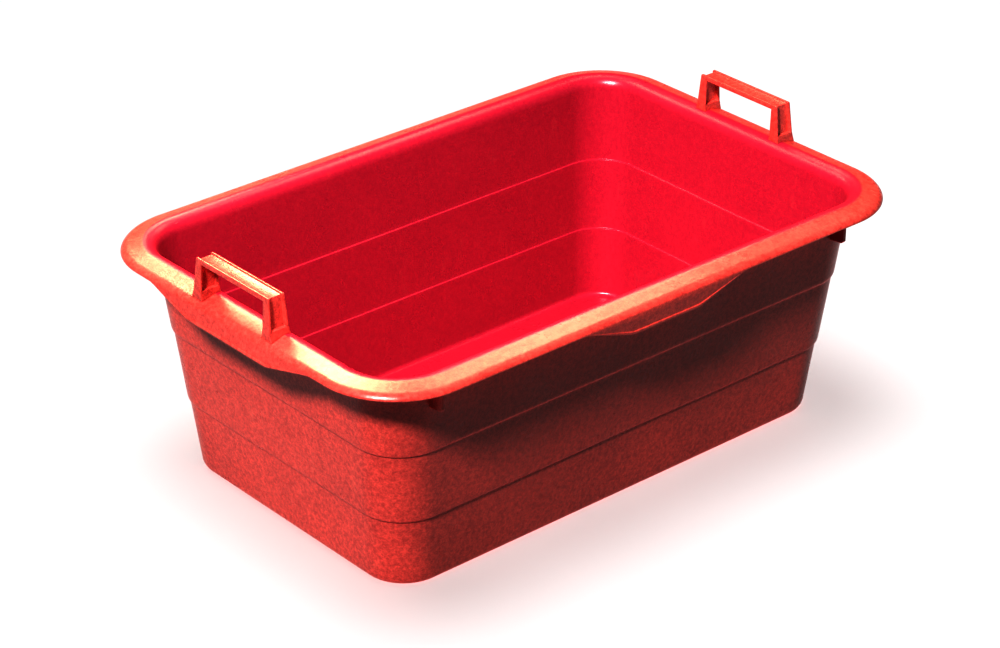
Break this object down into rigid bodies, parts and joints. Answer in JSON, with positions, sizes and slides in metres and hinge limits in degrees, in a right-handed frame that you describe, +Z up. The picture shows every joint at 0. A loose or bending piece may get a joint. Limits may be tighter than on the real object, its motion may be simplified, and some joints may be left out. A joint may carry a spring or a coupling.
{
  "type": "mortar mixing tub",
  "caption": "Rectangular tapered plastic tub with stepped walls, a rolled rim with hanging aprons and upright loop handles, for mixing and carrying mortar.",
  "frame": {"origin": "centre of the base's underside, on the floor, under the middle of the tub", "axes": "+X along the tub's length, towards the right-end handle; +Y across it; +Z up out of the mouth"},
  "size_m": [0.8086, 0.536, 0.3345],
  "materials": {
    "tub_plastic": "fine-grained satin moulded polyethylene, red",
    "handle_plastic": "fine-grained satin moulded polypropylene, red"
  },
  "bodies": {
    "root": {"tub_shell": "tub_plastic", "handle_left_end": "handle_plastic", "handle_right_end": "handle_plastic"}
  },
  "joints": []
}
